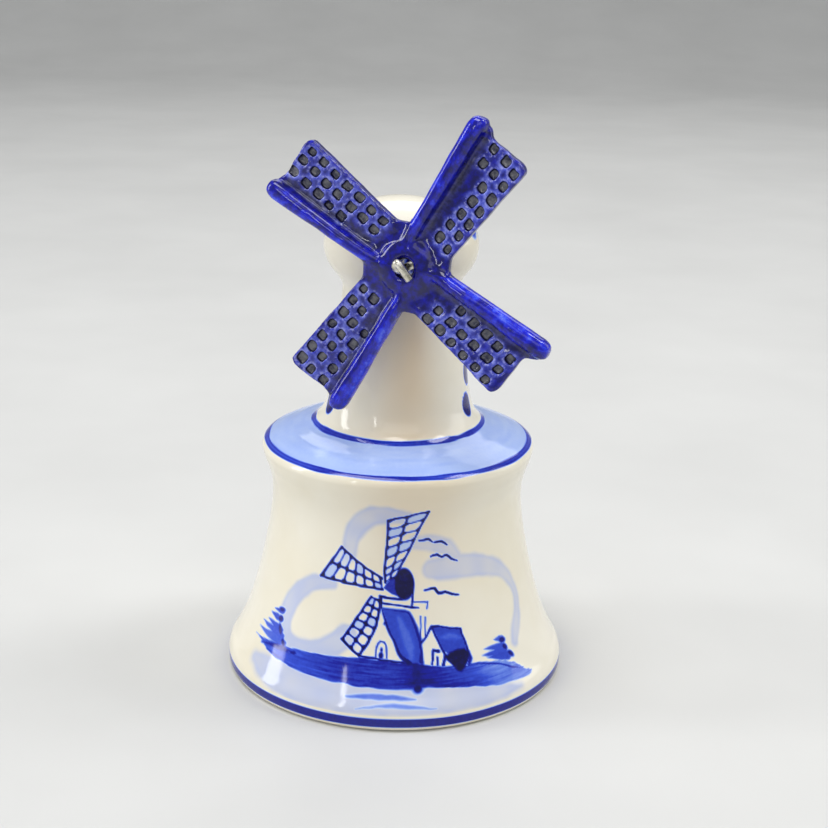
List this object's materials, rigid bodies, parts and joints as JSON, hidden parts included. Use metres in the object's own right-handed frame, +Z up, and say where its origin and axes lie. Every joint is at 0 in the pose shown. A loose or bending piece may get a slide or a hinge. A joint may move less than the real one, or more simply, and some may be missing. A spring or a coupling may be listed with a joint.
{
  "type": "porcelain windmill hand bell",
  "caption": "Hollow glazed porcelain bell whose handle is a windmill tower, with a free-turning sail cross on a bent wire axle and a hanging bead clapper inside.",
  "frame": {"origin": "centre of the mouth, on the plane the rim stands on", "axes": "+Z up the bell's axis towards the mill's cap; -Y towards the sails; +X to the right seen from the front"},
  "size_m": [0.064, 0.064, 0.1071],
  "materials": {
    "body_glaze": "glossy cream-white glaze with blue underglaze painting",
    "sail_glaze": "glossy cobalt-blue glaze, pooled darker in the recesses",
    "wire": "plain drawn wire, slightly dulled",
    "cement": "matt off-white cement",
    "bead_glaze": "glossy white glaze"
  },
  "bodies": {
    "bell": {"bell_body": "body_glaze", "axle_wire": "wire", "clapper_bridge": "wire", "bridge_cement_left": "cement", "bridge_cement_right": "cement"},
    "sails": {"sail_cross": "sail_glaze"},
    "clapper": {"clapper_wire": "wire", "clapper_bead": "bead_glaze"}
  },
  "joints": [
    {"name": "sail_spin", "type": "hinge", "parent": "bell", "child": "sails", "pos_m": [0.00091, -0.02005, 0.08108], "axis": [-0.3507, -0.933, 0.0802], "continuous": true},
    {"name": "clapper_swing", "type": "hinge", "parent": "bell", "child": "clapper", "pos_m": [0, 0, 0.0472], "axis": [1, 0, 0], "range_deg": [-32.5, 32.5]}
  ]
}
